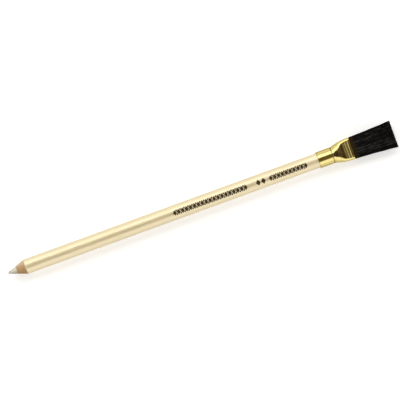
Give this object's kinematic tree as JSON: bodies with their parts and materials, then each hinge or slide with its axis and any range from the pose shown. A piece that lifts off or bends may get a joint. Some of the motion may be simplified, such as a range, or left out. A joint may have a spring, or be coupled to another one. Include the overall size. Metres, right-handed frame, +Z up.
{
  "type": "eraser pencil with brush",
  "caption": "Round wood-cased eraser pencil, sharpened to a rubber point, with a flat bristle brush in a pressed gold-coloured ferrule at its other end.",
  "frame": {"origin": "on the surface that the pencil lies on, under the middle of its length", "axes": "+X from the eraser point to the brush, +Z up out of the brush's flat face, +Y across the brush's width"},
  "size_m": [0.203, 0.0136, 0.0082],
  "materials": {
    "casing_wood": "bare, cut by a sharpener",
    "eraser_rubber": "matte off-white grey",
    "cream_lacquer": "glossy pearl cream",
    "gold_metal": "polished gold",
    "brown_foil": "stamped dark brown foil, on the ornament that only the visual model has",
    "setting_resin": "hard amber resin",
    "black_bristle": "stiff black bristle"
  },
  "bodies": {
    "root": {"casing_half_upper": "casing_wood", "casing_half_lower": "casing_wood", "eraser_core": "eraser_rubber", "lacquer_coat": "cream_lacquer", "ferrule": "gold_metal", "root_plug": "setting_resin", "bristle_tuft": "black_bristle"}
  },
  "joints": []
}
